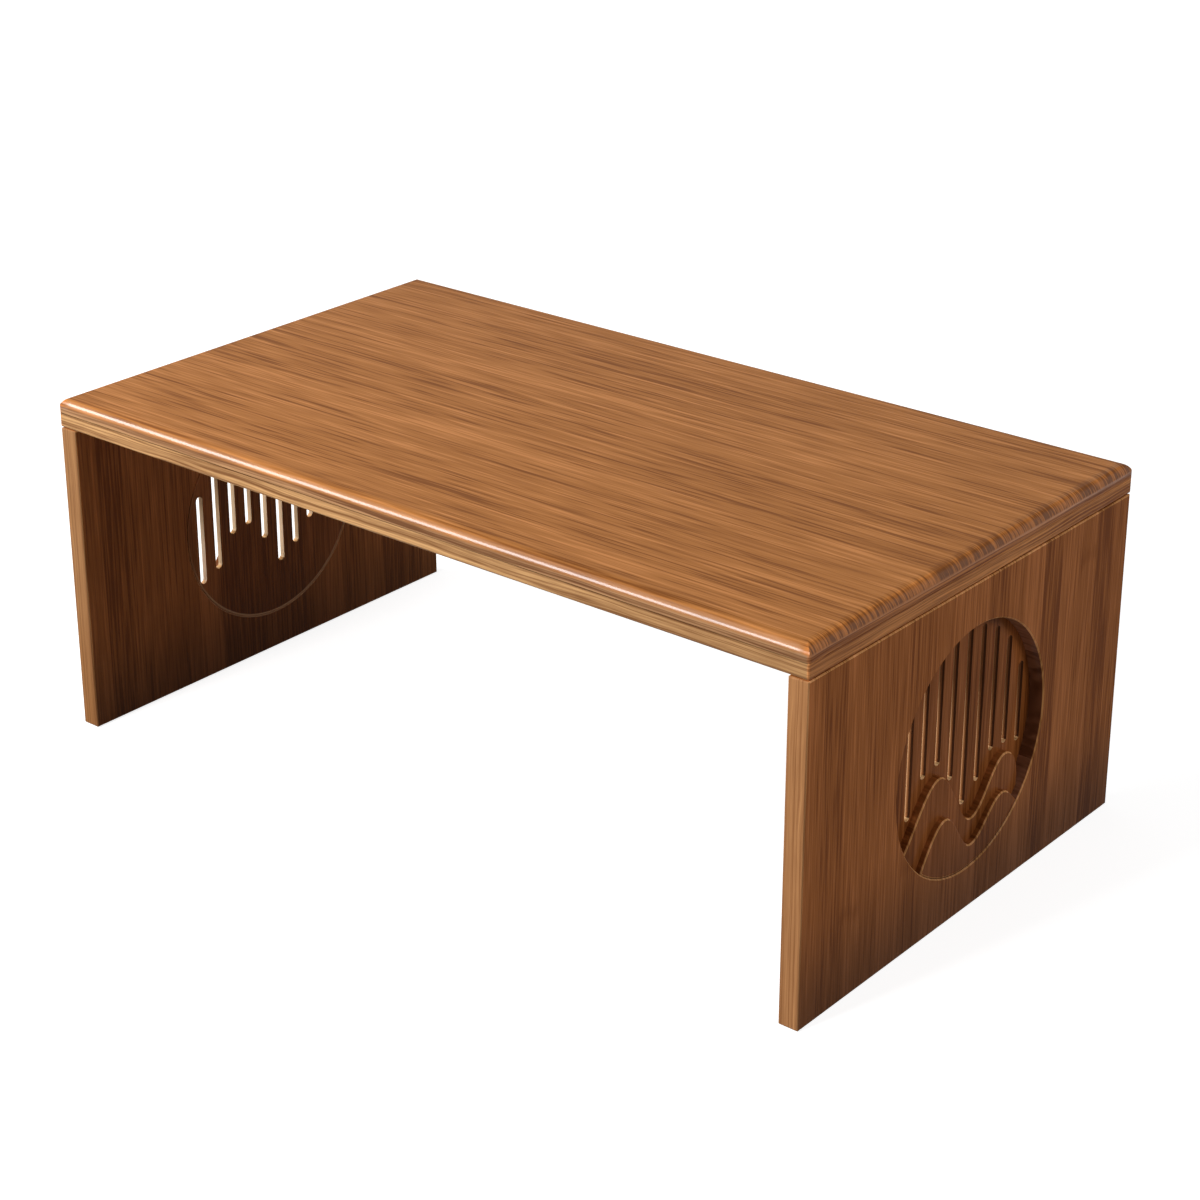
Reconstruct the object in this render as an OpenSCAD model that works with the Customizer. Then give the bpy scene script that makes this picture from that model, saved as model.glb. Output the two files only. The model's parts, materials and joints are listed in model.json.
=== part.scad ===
// Folding floor table: a laminated bamboo top on two slab legs. Each leg holds a round carved
// medallion and turns inwards about two sprung steel hinges until it lies flat under the top.
// X runs along the length, Y from front to back, Z up. The origin is on the floor, at the middle.

/* [Table] */
// Length of the top, left to right
table_l = 700; // [600:10:900]
// Depth of the top, front to back
table_w = 400; // [340:10:500]
// Height from the floor to the upper face
table_h = 276; // [240:2:340]
// Thickness of the top
top_t = 24; // [20:1:34]
// Radius of the roundover along the upper edge
top_round = 9.5; // [4:0.5:10]
// Radius of the softened lower edge
under_round = 2.5; // [1:0.5:4]
// Height of the V line above the underside
quirk_z = 12; // [8:0.5:12]
// Width of the V line at its mouth
quirk_w = 1.2; // [0.6:0.2:2]
// How far the edge below the V line is set back from the nose above it
nose = 0.5; // [0.2:0.1:1]
// Radius of the top's upright corners
corner_round = 3; // [2:0.5:8]

/* [Legs] */
// Thickness of a leg board
leg_t = 16; // [14:1:22]
// How far a leg's outer face and edges stay inside the top's edge
leg_inset = 0.5; // [0:0.5:6]
// Rounding of a leg board's arrises
leg_arris = 1.5; // [0.5:0.25:2]

/* [Medallion] */
// Radius of the round hole that holds the medallion
disc_hole_r = 93; // [88:1:98]
// Thickness of the pierced sky behind the hills
sky_t = 4.5; // [3.5:0.25:6]
// Depth of the far hills below the leg's outer face
far_depth = 5.5; // [4:0.25:6.5]
// Depth of the near hills below the leg's outer face
near_depth = 1; // [0.5:0.25:3]
// Width of one pierced slot
slot_w = 6.5; // [4:0.5:9]
// Distance from one slot to the next
slot_pitch = 17.5; // [14:0.5:22]
// Least wood left between a slot's upper end and the medallion's edge
slot_rim = 7; // [5:0.5:12]
// Chamfer round the hole on the leg's outer face
disc_chamfer = 0.9; // [0.4:0.1:1.5]
// Chamfer round the hole on the leg's inner face
hole_chamfer = 1.1; // [0.4:0.1:1.5]
// Chamfer round the medallion's inner face
ring_chamfer = 0.4; // [0.2:0.1:0.8]

/* [Hinges] */
// Distance of a hinge's middle from the front or back edge of the top
hinge_edge = 100; // [60:5:120]
// Distance of the pivot from the leg's inner face
pivot_in = 10; // [9.5:0.5:13]
// Distance of the pivot below the top
pivot_drop = 10; // [9.5:0.5:13]
// Radius of the pivot rivet
pin_r = 2.5; // [2:0.25:3.5]
// Thickness of the bracket plate
sheet_t = 2; // [1.5:0.25:2.5]
// Width between the outer faces of the top bracket's ears
ear_span = 28; // [24:1:34]
// Length of the top bracket's wide plate
top_plate_l = 42; // [38:1:60]
// Width of the top bracket's wide plate
top_plate_w = 46; // [44:1:60]
// Length of the leg bracket's wide plate
leg_plate_l = 25; // [23:1:40]
// Width of the leg bracket's wide plate
leg_plate_w = 44; // [42:1:60]
// Corner radius of both plates
plate_round = 4; // [1:0.5:6]
// Thickness of the leaf spring
spring_t = 0.8; // [0.5:0.1:1.2]
// Radius of the spring's pressed rib
rib_r = 1.5; // [1.2:0.1:2]
// Radius of the small rivet that holds the spring
spring_pin_r = 1.5; // [1:0.25:2.5]

/* [Screws] */
// Radius of a screw's countersunk head
head_r = 4; // [3:0.25:4.5]
// Radius of a screw's shank
shank_r = 1.75; // [1.25:0.25:2.25]
// Length of the screws that go up into the top
top_screw_l = 16; // [10:1:18]
// Length of the screws that go into the legs
leg_screw_l = 12; // [8:1:14]

/* [Clearances] */
// Space between the leg's upper end and the top
seat_gap = 0.2; // [0.1:0.1:0.5]
// Space round the medallion in its hole
disc_gap = 0.15; // [0.1:0.05:0.3]
// Radial clearance of the pivot rivet and the spring's rivet
pin_gap = 0.05; // [0.02:0.01:0.08]
// Radial clearance of a screw in its hole and in its countersink
screw_gap = 0.05; // [0.02:0.01:0.1]
// Space between the ears of the two brackets, and between the spring and the cam ears
ear_gap = 0.2; // [0.1:0.05:0.4]
// Space that the turning bracket keeps to the other bracket's ears and plate
turn_gap = 1; // [0.5:0.25:1.5]

/* [Hidden] */
$fn = 48;

// Hill lines, as crests and hollows from the medallion's centre, front to back
far_hills = [[-88, -62], [-31, -11.5], [13, -60.5], [54, -26.5]];
// The far hills end in a steep shoulder: its foot, and a point past the medallion's edge
far_shoulder = [72, -51];
near_hills = [[-28, -43], [7, -77], [46, -52.5], [85, -81]];
// The near hills start steeply, from this point on the medallion's edge
near_start = [-57, -72];
// Lower end of each slot, from the medallion's centre, front to back
slot_feet = [-42, -34, -9, -6, -24, -50, -39, -22, -23, -28];
// Straight pieces along each hill or shoulder
hill_steps = 18;

under_z = table_h - top_t;
leg_h = under_z - seat_gap;
leg_out = table_l / 2 - leg_inset;
leg_in = leg_out - leg_t;
leg_w = table_w - 2 * leg_inset;
disc_z = leg_h / 2;
disc_r = disc_hole_r - disc_gap;
slot_ring_r = disc_r - slot_rim;
// The hills are rooted in the sky panel, this far from its inner face
hill_from = sky_t / 2;

hinge_y = table_w / 2 - hinge_edge;
pivot_x = leg_in - pivot_in;
pivot_z = under_z - pivot_drop;
ear_r = pivot_in - sheet_t - turn_gap;
cam_r = pivot_drop - sheet_t - spring_t - ear_gap;
ear_in = ear_span / 2 - sheet_t;
cam_out = ear_in - ear_gap;

// Both plates: a narrow neck by the pivot, then the wide plate
neck_end = ear_r;
top_plate_from = 20;
leg_plate_from = 10;
leg_plate_top = pivot_drop - sheet_t - 2 * turn_gap;
web_foot = 20;
screw_edge = 6.5;
top_screw_x = [top_plate_from + screw_edge, top_plate_from + top_plate_l - screw_edge];
top_screw_y = top_plate_w / 2 - screw_edge;
leg_screw_edge = 5.5;
leg_screw_z = [leg_plate_from + leg_screw_edge, leg_plate_from + leg_plate_l - leg_screw_edge];
leg_screw_y = leg_plate_w / 2 - leg_screw_edge;

// The spring runs between the top bracket's ears, and its rib reaches down into the cams' notches
spring_side_gap = 1;
spring_w = 2 * (ear_in - spring_side_gap);
spring_nose = 3;
spring_tail = 48;
spring_pin_x = 40;
rib_sink = 0.6;
rib_z = pivot_drop - sheet_t - rib_sink;
window_from = 12;
// How far a rivet's head reaches past its shank
pivot_head = 1.7;
spring_head = 1.2;

module rounded_plate(w, l, r) {
    translate([-w / 2 + r, 0])
        square([w - 2 * r, l]);
    translate([-w / 2, r])
        square([w, l - 2 * r]);
    for (x = [-1, 1], y = [r, l - r])
        translate([x * (w / 2 - r), y])
            circle(r = r);
}

// Section of the top, drawn over the whole span. Above the V line: a nose with the roundover.
// Below it: a straight edge, set back a little, with a soft lower corner.
module top_section(span) {
    nose_x = span / 2;
    edge_x = nose_x - nose;
    difference() {
        union() {
            translate([-nose_x + top_round, top_t - top_round])
                square([span - 2 * top_round, top_round]);
            translate([-nose_x, quirk_z])
                square([span, top_t - top_round - quirk_z]);
            translate([-edge_x, under_round])
                square([2 * edge_x, quirk_z - under_round]);
            translate([-edge_x + under_round, 0])
                square([2 * (edge_x - under_round), under_round]);
            for (x = [-1, 1]) {
                translate([x * (nose_x - top_round), top_t - top_round])
                    circle(r = top_round);
                translate([x * (edge_x - under_round), under_round])
                    circle(r = under_round);
            }
        }
        for (x = [-1, 1])
            scale([x, 1])
                polygon([[edge_x - quirk_w / 2, quirk_z], [nose_x + 0.01, quirk_z + quirk_w / 2],
                    [nose_x + 0.01, quirk_z - quirk_w / 2], [edge_x, quirk_z - quirk_w / 2]]);
    }
}

// Places a flat outline, drawn in Y and Z, with its thickness from x0 along X
module along_x(x0, t) {
    translate([x0, 0, 0])
        rotate([90, 0, 90])
            linear_extrude(t)
                children();
}

// Places a flat outline, drawn in X and Z, with its thickness centred on y
module along_y(y, t) {
    translate([0, y + t / 2, 0])
        rotate([90, 0, 0])
            linear_extrude(t)
                children();
}

// Mirrors a right-hand piece to the left for side = -1
module on_side(side) {
    mirror([side < 0 ? 1 : 0, 0, 0])
        children();
}

// Puts a piece drawn round the pivot, for the right-hand side, at one of the four hinges
module at_hinge(side, end) {
    on_side(side)
        translate([pivot_x, end * hinge_y, pivot_z])
            children();
}

// Puts children at the screws of a top bracket: z = 0 on the plate's lower face, +z into the top
module each_top_screw() {
    for (x = top_screw_x, y = [-1, 1])
        translate([-x, y * top_screw_y, pivot_drop - sheet_t])
            children();
}

// Puts children at the screws of a leg bracket: z = 0 on the plate's inner face, +z into the leg
module each_leg_screw() {
    for (z = leg_screw_z, y = [-1, 1])
        translate([pivot_in - sheet_t, y * leg_screw_y, -z])
            rotate([0, 90, 0])
                children();
}

module screw_hole(screw_l) {
    translate([0, 0, sheet_t - 0.01])
        cylinder(r = shank_r + screw_gap, h = screw_l - sheet_t + 0.3);
}

module countersink() {
    translate([0, 0, -0.01])
        cylinder(r1 = head_r + screw_gap, r2 = shank_r + screw_gap, h = sheet_t + 0.02);
}

module wood_screw(screw_l) {
    tip_l = 3;
    cross_w = 0.9;
    cross_l = 4.4;
    cross_d = 1.1;
    difference() {
        union() {
            cylinder(r1 = head_r, r2 = shank_r, h = sheet_t);
            cylinder(r = shank_r, h = screw_l - tip_l);
            translate([0, 0, screw_l - tip_l])
                cylinder(r1 = shank_r, r2 = 0.3, h = tip_l);
        }
        for (a = [0, 90])
            rotate(a)
                translate([-cross_l / 2, -cross_w / 2, -0.01])
                    cube([cross_l, cross_w, cross_d]);
    }
}

module tabletop() {
    color("#A9703F")
        difference() {
            translate([0, 0, under_z])
                intersection() {
                    along_y(0, table_w + 2)
                        top_section(table_l);
                    along_x(-table_l / 2 - 1, table_l + 2)
                        top_section(table_w);
                    translate([0, -table_w / 2, -1])
                        linear_extrude(top_t + 2)
                            rounded_plate(table_l, table_w, corner_round);
                }
            for (side = [-1, 1], end = [-1, 1])
                at_hinge(side, end)
                    each_top_screw()
                        screw_hole(top_screw_l);
        }
}

module leg_board() {
    difference() {
        intersection() {
            translate([leg_out - leg_t / 2, 0, 0])
                along_y(0, leg_w + 2)
                    rounded_plate(leg_t, leg_h, leg_arris);
            translate([leg_out - leg_t / 2, -leg_w / 2, -1])
                linear_extrude(leg_h + 2)
                    rounded_plate(leg_t, leg_w, leg_arris);
            along_x(leg_in - 1, leg_t + 2)
                rounded_plate(leg_w, leg_h, leg_arris);
        }
        translate([leg_in, 0, disc_z])
            rotate([0, 90, 0]) {
                translate([0, 0, -1])
                    cylinder(r = disc_hole_r, h = leg_t + 2, $fn = 96);
                translate([0, 0, leg_t - disc_chamfer])
                    cylinder(r1 = disc_hole_r, r2 = disc_hole_r + disc_chamfer + 0.01,
                        h = disc_chamfer + 0.01, $fn = 96);
                translate([0, 0, -0.01])
                    cylinder(r1 = disc_hole_r + hole_chamfer + 0.01, r2 = disc_hole_r,
                        h = hole_chamfer + 0.01, $fn = 96);
            }
        for (end = [-1, 1])
            translate([pivot_x, end * hinge_y, pivot_z])
                each_leg_screw()
                    screw_hole(leg_screw_l);
    }
}

module leg(side) {
    color("#8A5227")
        on_side(side)
            leg_board();
}

// A smooth rise or fall from point a to point b, level at both ends
function slope(a, b) = [for (i = [0:hill_steps - 1])
    let (t = i / hill_steps)
    [a[0] + (b[0] - a[0]) * t, a[1] + (b[1] - a[1]) * (1 - cos(180 * t)) / 2]];

// A steep start that levels out at b
function steep_rise(a, b) = [for (i = [0:hill_steps - 1])
    let (t = i / hill_steps)
    [a[0] + (b[0] - a[0]) * t, a[1] + (b[1] - a[1]) * sin(90 * t)]];

// A quarter of an ellipse, level at a and upright at b
function shoulder(a, b) = [for (i = [0:hill_steps])
    let (t = 90 * i / hill_steps)
    [a[0] + (b[0] - a[0]) * sin(t), b[1] + (a[1] - b[1]) * cos(t)]];

function ridge(p) = [for (i = [0:len(p) - 2]) each slope(p[i], p[i + 1])];

module far_outline() {
    polygon(concat(ridge(far_hills), shoulder(far_hills[3], far_shoulder),
        [[far_shoulder[0], -disc_hole_r - 1], [far_hills[0][0], -disc_hole_r - 1]]));
}

module near_outline() {
    polygon(concat(steep_rise(near_start, near_hills[0]), ridge(near_hills), [near_hills[3]],
        [[near_hills[3][0], -disc_hole_r - 1], [near_start[0], -disc_hole_r - 1]]));
}

module disc_outline() {
    circle(r = disc_r, $fn = 96);
}

// The pierced panel behind the hills, chamfered round its inner face
module sky_panel() {
    translate([leg_in, 0, 0])
        rotate([0, 90, 0]) {
            cylinder(r1 = disc_r - ring_chamfer, r2 = disc_r, h = ring_chamfer, $fn = 96);
            translate([0, 0, ring_chamfer])
                cylinder(r = disc_r, h = sky_t - ring_chamfer, $fn = 96);
        }
}

// One pierced slot with round ends, from its foot up to the ring of slot ends
module slot(y, foot) {
    top = sqrt(slot_ring_r * slot_ring_r - y * y);
    if (top - foot > 2 * slot_w) {
        translate([y - slot_w / 2, foot + slot_w / 2])
            square([slot_w, top - foot - slot_w]);
        for (z = [foot + slot_w / 2, top - slot_w / 2])
            translate([y, z])
                circle(d = slot_w);
    }
}

module slots() {
    n = len(slot_feet);
    for (i = [0:n - 1]) {
        y = (i - (n - 1) / 2) * slot_pitch;
        if (abs(y) < slot_ring_r - 2)
            slot(y, slot_feet[i]);
    }
}

module medallion(side) {
    color("#9A5F30")
        on_side(side)
            translate([0, 0, disc_z])
                difference() {
                    union() {
                        sky_panel();
                        along_x(leg_in + hill_from, leg_t - far_depth - hill_from)
                            intersection() {
                                disc_outline();
                                far_outline();
                            }
                        along_x(leg_in + hill_from, leg_t - near_depth - hill_from)
                            intersection() {
                                disc_outline();
                                near_outline();
                            }
                    }
                    along_x(leg_in - 1, leg_t + 2)
                        slots();
                }
}

// Side view of a top bracket's ear: a round end on the pivot, carried by the plate above
module ear_outline() {
    difference() {
        union() {
            circle(r = ear_r);
            translate([-window_from, 0])
                square([window_from + ear_r, pivot_drop - sheet_t / 2]);
        }
        translate([-window_from, 0])
            circle(r = window_from - ear_r);
        circle(r = pin_r + pin_gap);
    }
}

module top_bracket(side, end) {
    color("#B9BCC0")
        at_hinge(side, end) {
            difference() {
                translate([0, 0, pivot_drop - sheet_t])
                    linear_extrude(sheet_t)
                        difference() {
                            union() {
                                translate([-top_plate_from - 1, -ear_span / 2])
                                    square([top_plate_from + 1 + neck_end, ear_span]);
                                translate([-top_plate_from, 0])
                                    rotate(90)
                                        rounded_plate(top_plate_w, top_plate_l, plate_round);
                            }
                            translate([-window_from, -cam_out])
                                square([window_from + neck_end + 1, 2 * cam_out]);
                            translate([-spring_pin_x, 0])
                                circle(r = spring_pin_r + pin_gap);
                        }
                each_top_screw()
                    countersink();
            }
            for (y = [-1, 1])
                along_y(y * (ear_in + sheet_t / 2), sheet_t)
                    ear_outline();
        }
}

// Side view of a leg bracket's ear: a cam end with a notch for each stop, and a web to the plate
module cam_outline() {
    difference() {
        union() {
            intersection() {
                circle(r = cam_r);
                translate([-2 * cam_r, -2 * cam_r])
                    square([2 * cam_r + pivot_in - sheet_t, 4 * cam_r]);
            }
            polygon([[0, 0], [0, leg_plate_top], [pivot_in - sheet_t + 0.5, leg_plate_top],
                [pivot_in - sheet_t + 0.5, -web_foot], [pivot_in - sheet_t - 2, -web_foot],
                [-cam_r * cos(30), -cam_r * sin(30)]]);
        }
        for (a = [90, 180])
            rotate(a)
                translate([rib_z, 0])
                    circle(r = rib_r + ear_gap);
        circle(r = pin_r + pin_gap);
    }
}

module leg_bracket(side, end) {
    color("#B9BCC0")
        at_hinge(side, end) {
            difference() {
                along_x(pivot_in - sheet_t, sheet_t)
                    union() {
                        translate([-cam_out, -leg_plate_from - 1])
                            square([2 * cam_out, leg_plate_from + 1 + leg_plate_top]);
                        translate([0, -leg_plate_from - leg_plate_l])
                            rounded_plate(leg_plate_w, leg_plate_l, plate_round);
                    }
                each_leg_screw()
                    countersink();
            }
            for (y = [-1, 1])
                along_y(y * (cam_out - sheet_t / 2), sheet_t)
                    cam_outline();
        }
}

// A domed rivet head that stands on z = 0
module rivet_head(r) {
    rotate_extrude()
        intersection() {
            translate([0, -r])
                circle(r = r * sqrt(2));
            square([r, r]);
        }
}

module pivot_rivet(side, end) {
    grip = ear_span / 2 + pin_gap;
    color("#D0D2D4")
        at_hinge(side, end)
            rotate([90, 0, 0]) {
                cylinder(r = pin_r, h = 2 * grip, center = true);
                for (a = [0, 180])
                    rotate([a, 0, 0])
                        translate([0, 0, grip])
                            rivet_head(pin_r + pivot_head);
            }
}

module leaf_spring(side, end) {
    strip_top = pivot_drop - sheet_t;
    color("#8E939A")
        at_hinge(side, end)
            difference() {
                along_y(0, spring_w)
                    difference() {
                        union() {
                            translate([-spring_tail, strip_top - spring_t])
                                square([spring_tail + spring_nose, spring_t]);
                            translate([0, rib_z])
                                circle(r = rib_r);
                        }
                        translate([-2 * rib_r, strip_top])
                            square([4 * rib_r, 2 * rib_r]);
                        translate([0, strip_top])
                            circle(r = rib_r - rib_sink);
                    }
                translate([-spring_pin_x, 0, 0])
                    cylinder(r = spring_pin_r + pin_gap, h = pivot_drop);
            }
}

module spring_rivet(side, end) {
    shank_z = pivot_drop - sheet_t - spring_t;
    color("#D0D2D4")
        at_hinge(side, end)
            translate([-spring_pin_x, 0, shank_z]) {
                cylinder(r = spring_pin_r, h = spring_t + sheet_t);
                rotate([180, 0, 0])
                    rivet_head(spring_pin_r + spring_head);
            }
}

module top_screws(side, end) {
    color("#D8D9DA")
        at_hinge(side, end)
            each_top_screw()
                wood_screw(top_screw_l);
}

module leg_screws(side, end) {
    color("#D8D9DA")
        at_hinge(side, end)
            each_leg_screw()
                wood_screw(leg_screw_l);
}

tabletop();
leg(-1);  // left_leg
medallion(-1);  // left_medallion
leg(1);  // right_leg
medallion(1);  // right_medallion
top_bracket(-1, -1);  // left_front_top_bracket
leg_bracket(-1, -1);  // left_front_leg_bracket
pivot_rivet(-1, -1);  // left_front_pivot_rivet
leaf_spring(-1, -1);  // left_front_leaf_spring
spring_rivet(-1, -1);  // left_front_spring_rivet
top_screws(-1, -1);  // left_front_top_screws
leg_screws(-1, -1);  // left_front_leg_screws
top_bracket(-1, 1);  // left_back_top_bracket
leg_bracket(-1, 1);  // left_back_leg_bracket
pivot_rivet(-1, 1);  // left_back_pivot_rivet
leaf_spring(-1, 1);  // left_back_leaf_spring
spring_rivet(-1, 1);  // left_back_spring_rivet
top_screws(-1, 1);  // left_back_top_screws
leg_screws(-1, 1);  // left_back_leg_screws
top_bracket(1, -1);  // right_front_top_bracket
leg_bracket(1, -1);  // right_front_leg_bracket
pivot_rivet(1, -1);  // right_front_pivot_rivet
leaf_spring(1, -1);  // right_front_leaf_spring
spring_rivet(1, -1);  // right_front_spring_rivet
top_screws(1, -1);  // right_front_top_screws
leg_screws(1, -1);  // right_front_leg_screws
top_bracket(1, 1);  // right_back_top_bracket
leg_bracket(1, 1);  // right_back_leg_bracket
pivot_rivet(1, 1);  // right_back_pivot_rivet
leaf_spring(1, 1);  // right_back_leaf_spring
spring_rivet(1, 1);  // right_back_spring_rivet
top_screws(1, 1);  // right_back_top_screws
leg_screws(1, 1);  // right_back_leg_screws
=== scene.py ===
# %% [markdown]
# A folding floor table in bamboo.
# The construction is finished before this script starts: boards, medallions, hinges and screws
# come in as a fixed frame, each already in its place. This script gives them their looks. It
# places the camera and the light, mixes the bamboo and the steel from procedural nodes, and
# softens the carved medallions, whose edges a carver would never leave knife-sharp.

# %% Load the frame
import json
import math

import bmesh
import bpy
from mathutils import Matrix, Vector

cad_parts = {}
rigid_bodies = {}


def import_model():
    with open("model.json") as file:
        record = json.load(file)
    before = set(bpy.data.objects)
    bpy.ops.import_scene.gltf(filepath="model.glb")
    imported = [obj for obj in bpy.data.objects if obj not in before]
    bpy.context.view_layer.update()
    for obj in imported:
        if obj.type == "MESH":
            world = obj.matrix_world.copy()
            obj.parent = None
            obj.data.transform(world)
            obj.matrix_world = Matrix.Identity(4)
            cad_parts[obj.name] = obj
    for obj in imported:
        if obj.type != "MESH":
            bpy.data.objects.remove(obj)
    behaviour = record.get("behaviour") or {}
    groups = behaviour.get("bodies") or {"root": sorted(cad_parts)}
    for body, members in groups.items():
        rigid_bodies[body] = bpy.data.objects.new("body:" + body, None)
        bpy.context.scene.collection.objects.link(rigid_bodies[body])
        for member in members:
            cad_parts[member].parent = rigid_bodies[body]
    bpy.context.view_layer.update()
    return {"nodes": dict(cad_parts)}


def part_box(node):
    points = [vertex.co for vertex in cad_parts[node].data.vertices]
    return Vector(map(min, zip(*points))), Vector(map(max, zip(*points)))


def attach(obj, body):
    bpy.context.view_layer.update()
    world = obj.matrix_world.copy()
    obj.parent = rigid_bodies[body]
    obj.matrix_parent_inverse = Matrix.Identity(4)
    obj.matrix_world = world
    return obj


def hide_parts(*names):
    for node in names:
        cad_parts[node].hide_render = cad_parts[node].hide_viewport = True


for leftover in list(bpy.data.objects):
    bpy.data.objects.remove(leftover)
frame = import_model()
NODES = frame["nodes"]

# %% [markdown]
# Sizes first. Everything that a pattern needs to know about the table is read from the frame,
# so the looks follow the boards if their sizes change. A box gives the lowest and the highest
# corner of a node, in metres. The V line runs round the top at half its thickness.

# %% Sizes read from the frame
MM = 0.001
TOP_LOW, TOP_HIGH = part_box("tabletop")
LEG_LOW, LEG_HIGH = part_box("right_leg")
DISC_LOW, DISC_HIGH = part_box("right_medallion")
TOP_THICK = TOP_HIGH.z - TOP_LOW.z
LEG_THICK = LEG_HIGH.x - LEG_LOW.x
DISC_MIDDLE_Z = (DISC_LOW.z + DISC_HIGH.z) / 2
DISC_RADIUS = (DISC_HIGH.z - DISC_LOW.z) / 2
V_LINE_Z = (TOP_LOW.z + TOP_HIGH.z) / 2
print("top", round(TOP_THICK / MM, 1), "mm, leg", round(LEG_THICK / MM, 1), "mm thick")

# %% [markdown]
# The camera stands in front of the right-hand corner and looks down at the table, as in the
# photograph. The long lens keeps the upright edges nearly parallel. A small vertical shift
# does what a view camera does: it slides the picture without tilting the camera further.

# %% The camera
CAMERA_PLACE = Vector((1.1927, -1.4279, 0.9777))
CAMERA_TURN = math.radians(39.391)
CAMERA_DIP = math.radians(22.187)
LENS = 80.78
SENSOR = 36.0
PICTURE_SHIFT = -0.083

camera_data = bpy.data.cameras.new("camera")
camera_data.lens = LENS
camera_data.sensor_width = SENSOR
camera_data.shift_y = PICTURE_SHIFT
camera = bpy.data.objects.new("camera", camera_data)
camera.location = CAMERA_PLACE
camera.rotation_euler = (math.pi / 2 - CAMERA_DIP, 0.0, CAMERA_TURN)
bpy.context.scene.collection.objects.link(camera)
bpy.context.scene.camera = camera
print("camera:", round(CAMERA_PLACE.length, 2), "m from the origin")

# %% [markdown]
# Node trees are easier to read when each node is one line of code. Two helpers do the
# repeated work: one adds a node and sets its values, the other links a socket or sets it to a
# plain number, whichever it is given. The others name the few sums that come back all the
# time, such as how far a point lies past a distance from the middle.

# %% Helpers for node trees
def feed(tree, socket, source):
    """Links source to the socket if it is a socket, and otherwise sets it as a value."""
    if isinstance(source, bpy.types.NodeSocket):
        tree.links.new(source, socket)
    else:
        socket.default_value = source


def add(tree, kind, inputs=None, **settings):
    node = tree.nodes.new(kind)
    for name, value in settings.items():
        setattr(node, name, value)
    for name, source in (inputs or {}).items():
        feed(tree, node.inputs[name], source)
    return node


def math_node(tree, operation, a, b=0.0, c=0.0, clamp=False):
    node = add(tree, "ShaderNodeMath", {0: a, 1: b, 2: c}, operation=operation, use_clamp=clamp)
    return node.outputs[0]


def product_node(tree, first, *others):
    for other in others:
        first = math_node(tree, "MULTIPLY", first, other)
    return first


def gap_node(tree, a, b):
    """How far apart two numbers are, without a sign."""
    return math_node(tree, "ABSOLUTE", math_node(tree, "SUBTRACT", a, b))


def past_node(tree, axis, distance):
    """How far a point lies past a distance from the middle, on either side of it."""
    return math_node(tree, "SUBTRACT", math_node(tree, "ABSOLUTE", axis), distance)


def blend_node(tree, factor, a, b, blend_type="MIX"):
    node = add(tree, "ShaderNodeMix", data_type="RGBA", blend_type=blend_type)
    feed(tree, node.inputs[0], factor)
    feed(tree, node.inputs[6], a)
    feed(tree, node.inputs[7], b)
    return node.outputs[2]


def step_node(tree, value, low, high, to_low=0.0, to_high=1.0):
    """A soft step: to_low below low, to_high above high."""
    node = add(tree, "ShaderNodeMapRange",
               {0: value, 1: low, 2: high, 3: to_low, 4: to_high},
               interpolation_type="SMOOTHSTEP")
    return node.outputs[0]


def noise_node(tree, vector, detail):
    node = add(tree, "ShaderNodeTexNoise", {"Vector": vector, "Scale": 1.0, "Detail": detail})
    return node.outputs[0]


def swing_node(tree, vector, detail):
    """Noise that swings round zero."""
    return math_node(tree, "SUBTRACT", noise_node(tree, vector, detail), 0.5)


def stretch_node(tree, vector, scale, offset=(0.0, 0.0, 0.0)):
    node = add(tree, "ShaderNodeMapping", {"Vector": vector, "Scale": scale, "Location": offset})
    return node.outputs[0]


def object_place(tree):
    """The point in the object's own axes."""
    return add(tree, "ShaderNodeTexCoord").outputs["Object"]


def split_node(tree, vector):
    """A vector's X, Y and Z."""
    return add(tree, "ShaderNodeSeparateXYZ", {0: vector}).outputs


def new_group(name, inputs, outputs):
    """An empty node group: inputs and outputs are lists of (name, socket type, default)."""
    group = bpy.data.node_groups.new(name, "ShaderNodeTree")
    for side, sockets in (("INPUT", inputs), ("OUTPUT", outputs)):
        for label, kind, default in sockets:
            socket = group.interface.new_socket(name=label, in_out=side, socket_type=kind)
            if default is not None:
                socket.default_value = default
    inner_inputs = group.nodes.new("NodeGroupInput").outputs
    return group, inner_inputs, group.nodes.new("NodeGroupOutput").inputs

# %% [markdown]
# Laminated bamboo is glued from long strips. Each strip has its own tone, because each comes
# from another stalk. A board shows this as bands of one width that run the whole length, with
# a fine glue line between some of them. The bands wander by about a millimetre, since no strip
# is dead straight.

# %% The strips of a laminated board
STRIP_BEND = (2.0, 3.0, 3.0)
STRIP_WANDER = 1.2 * MM
OTHER_SIDE = 40.5
SECOND_DRAW = 37.0
GLUE_LINE = 0.6 * MM
GLUE_SHOWS_ON = (0.55, 0.70)


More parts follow.
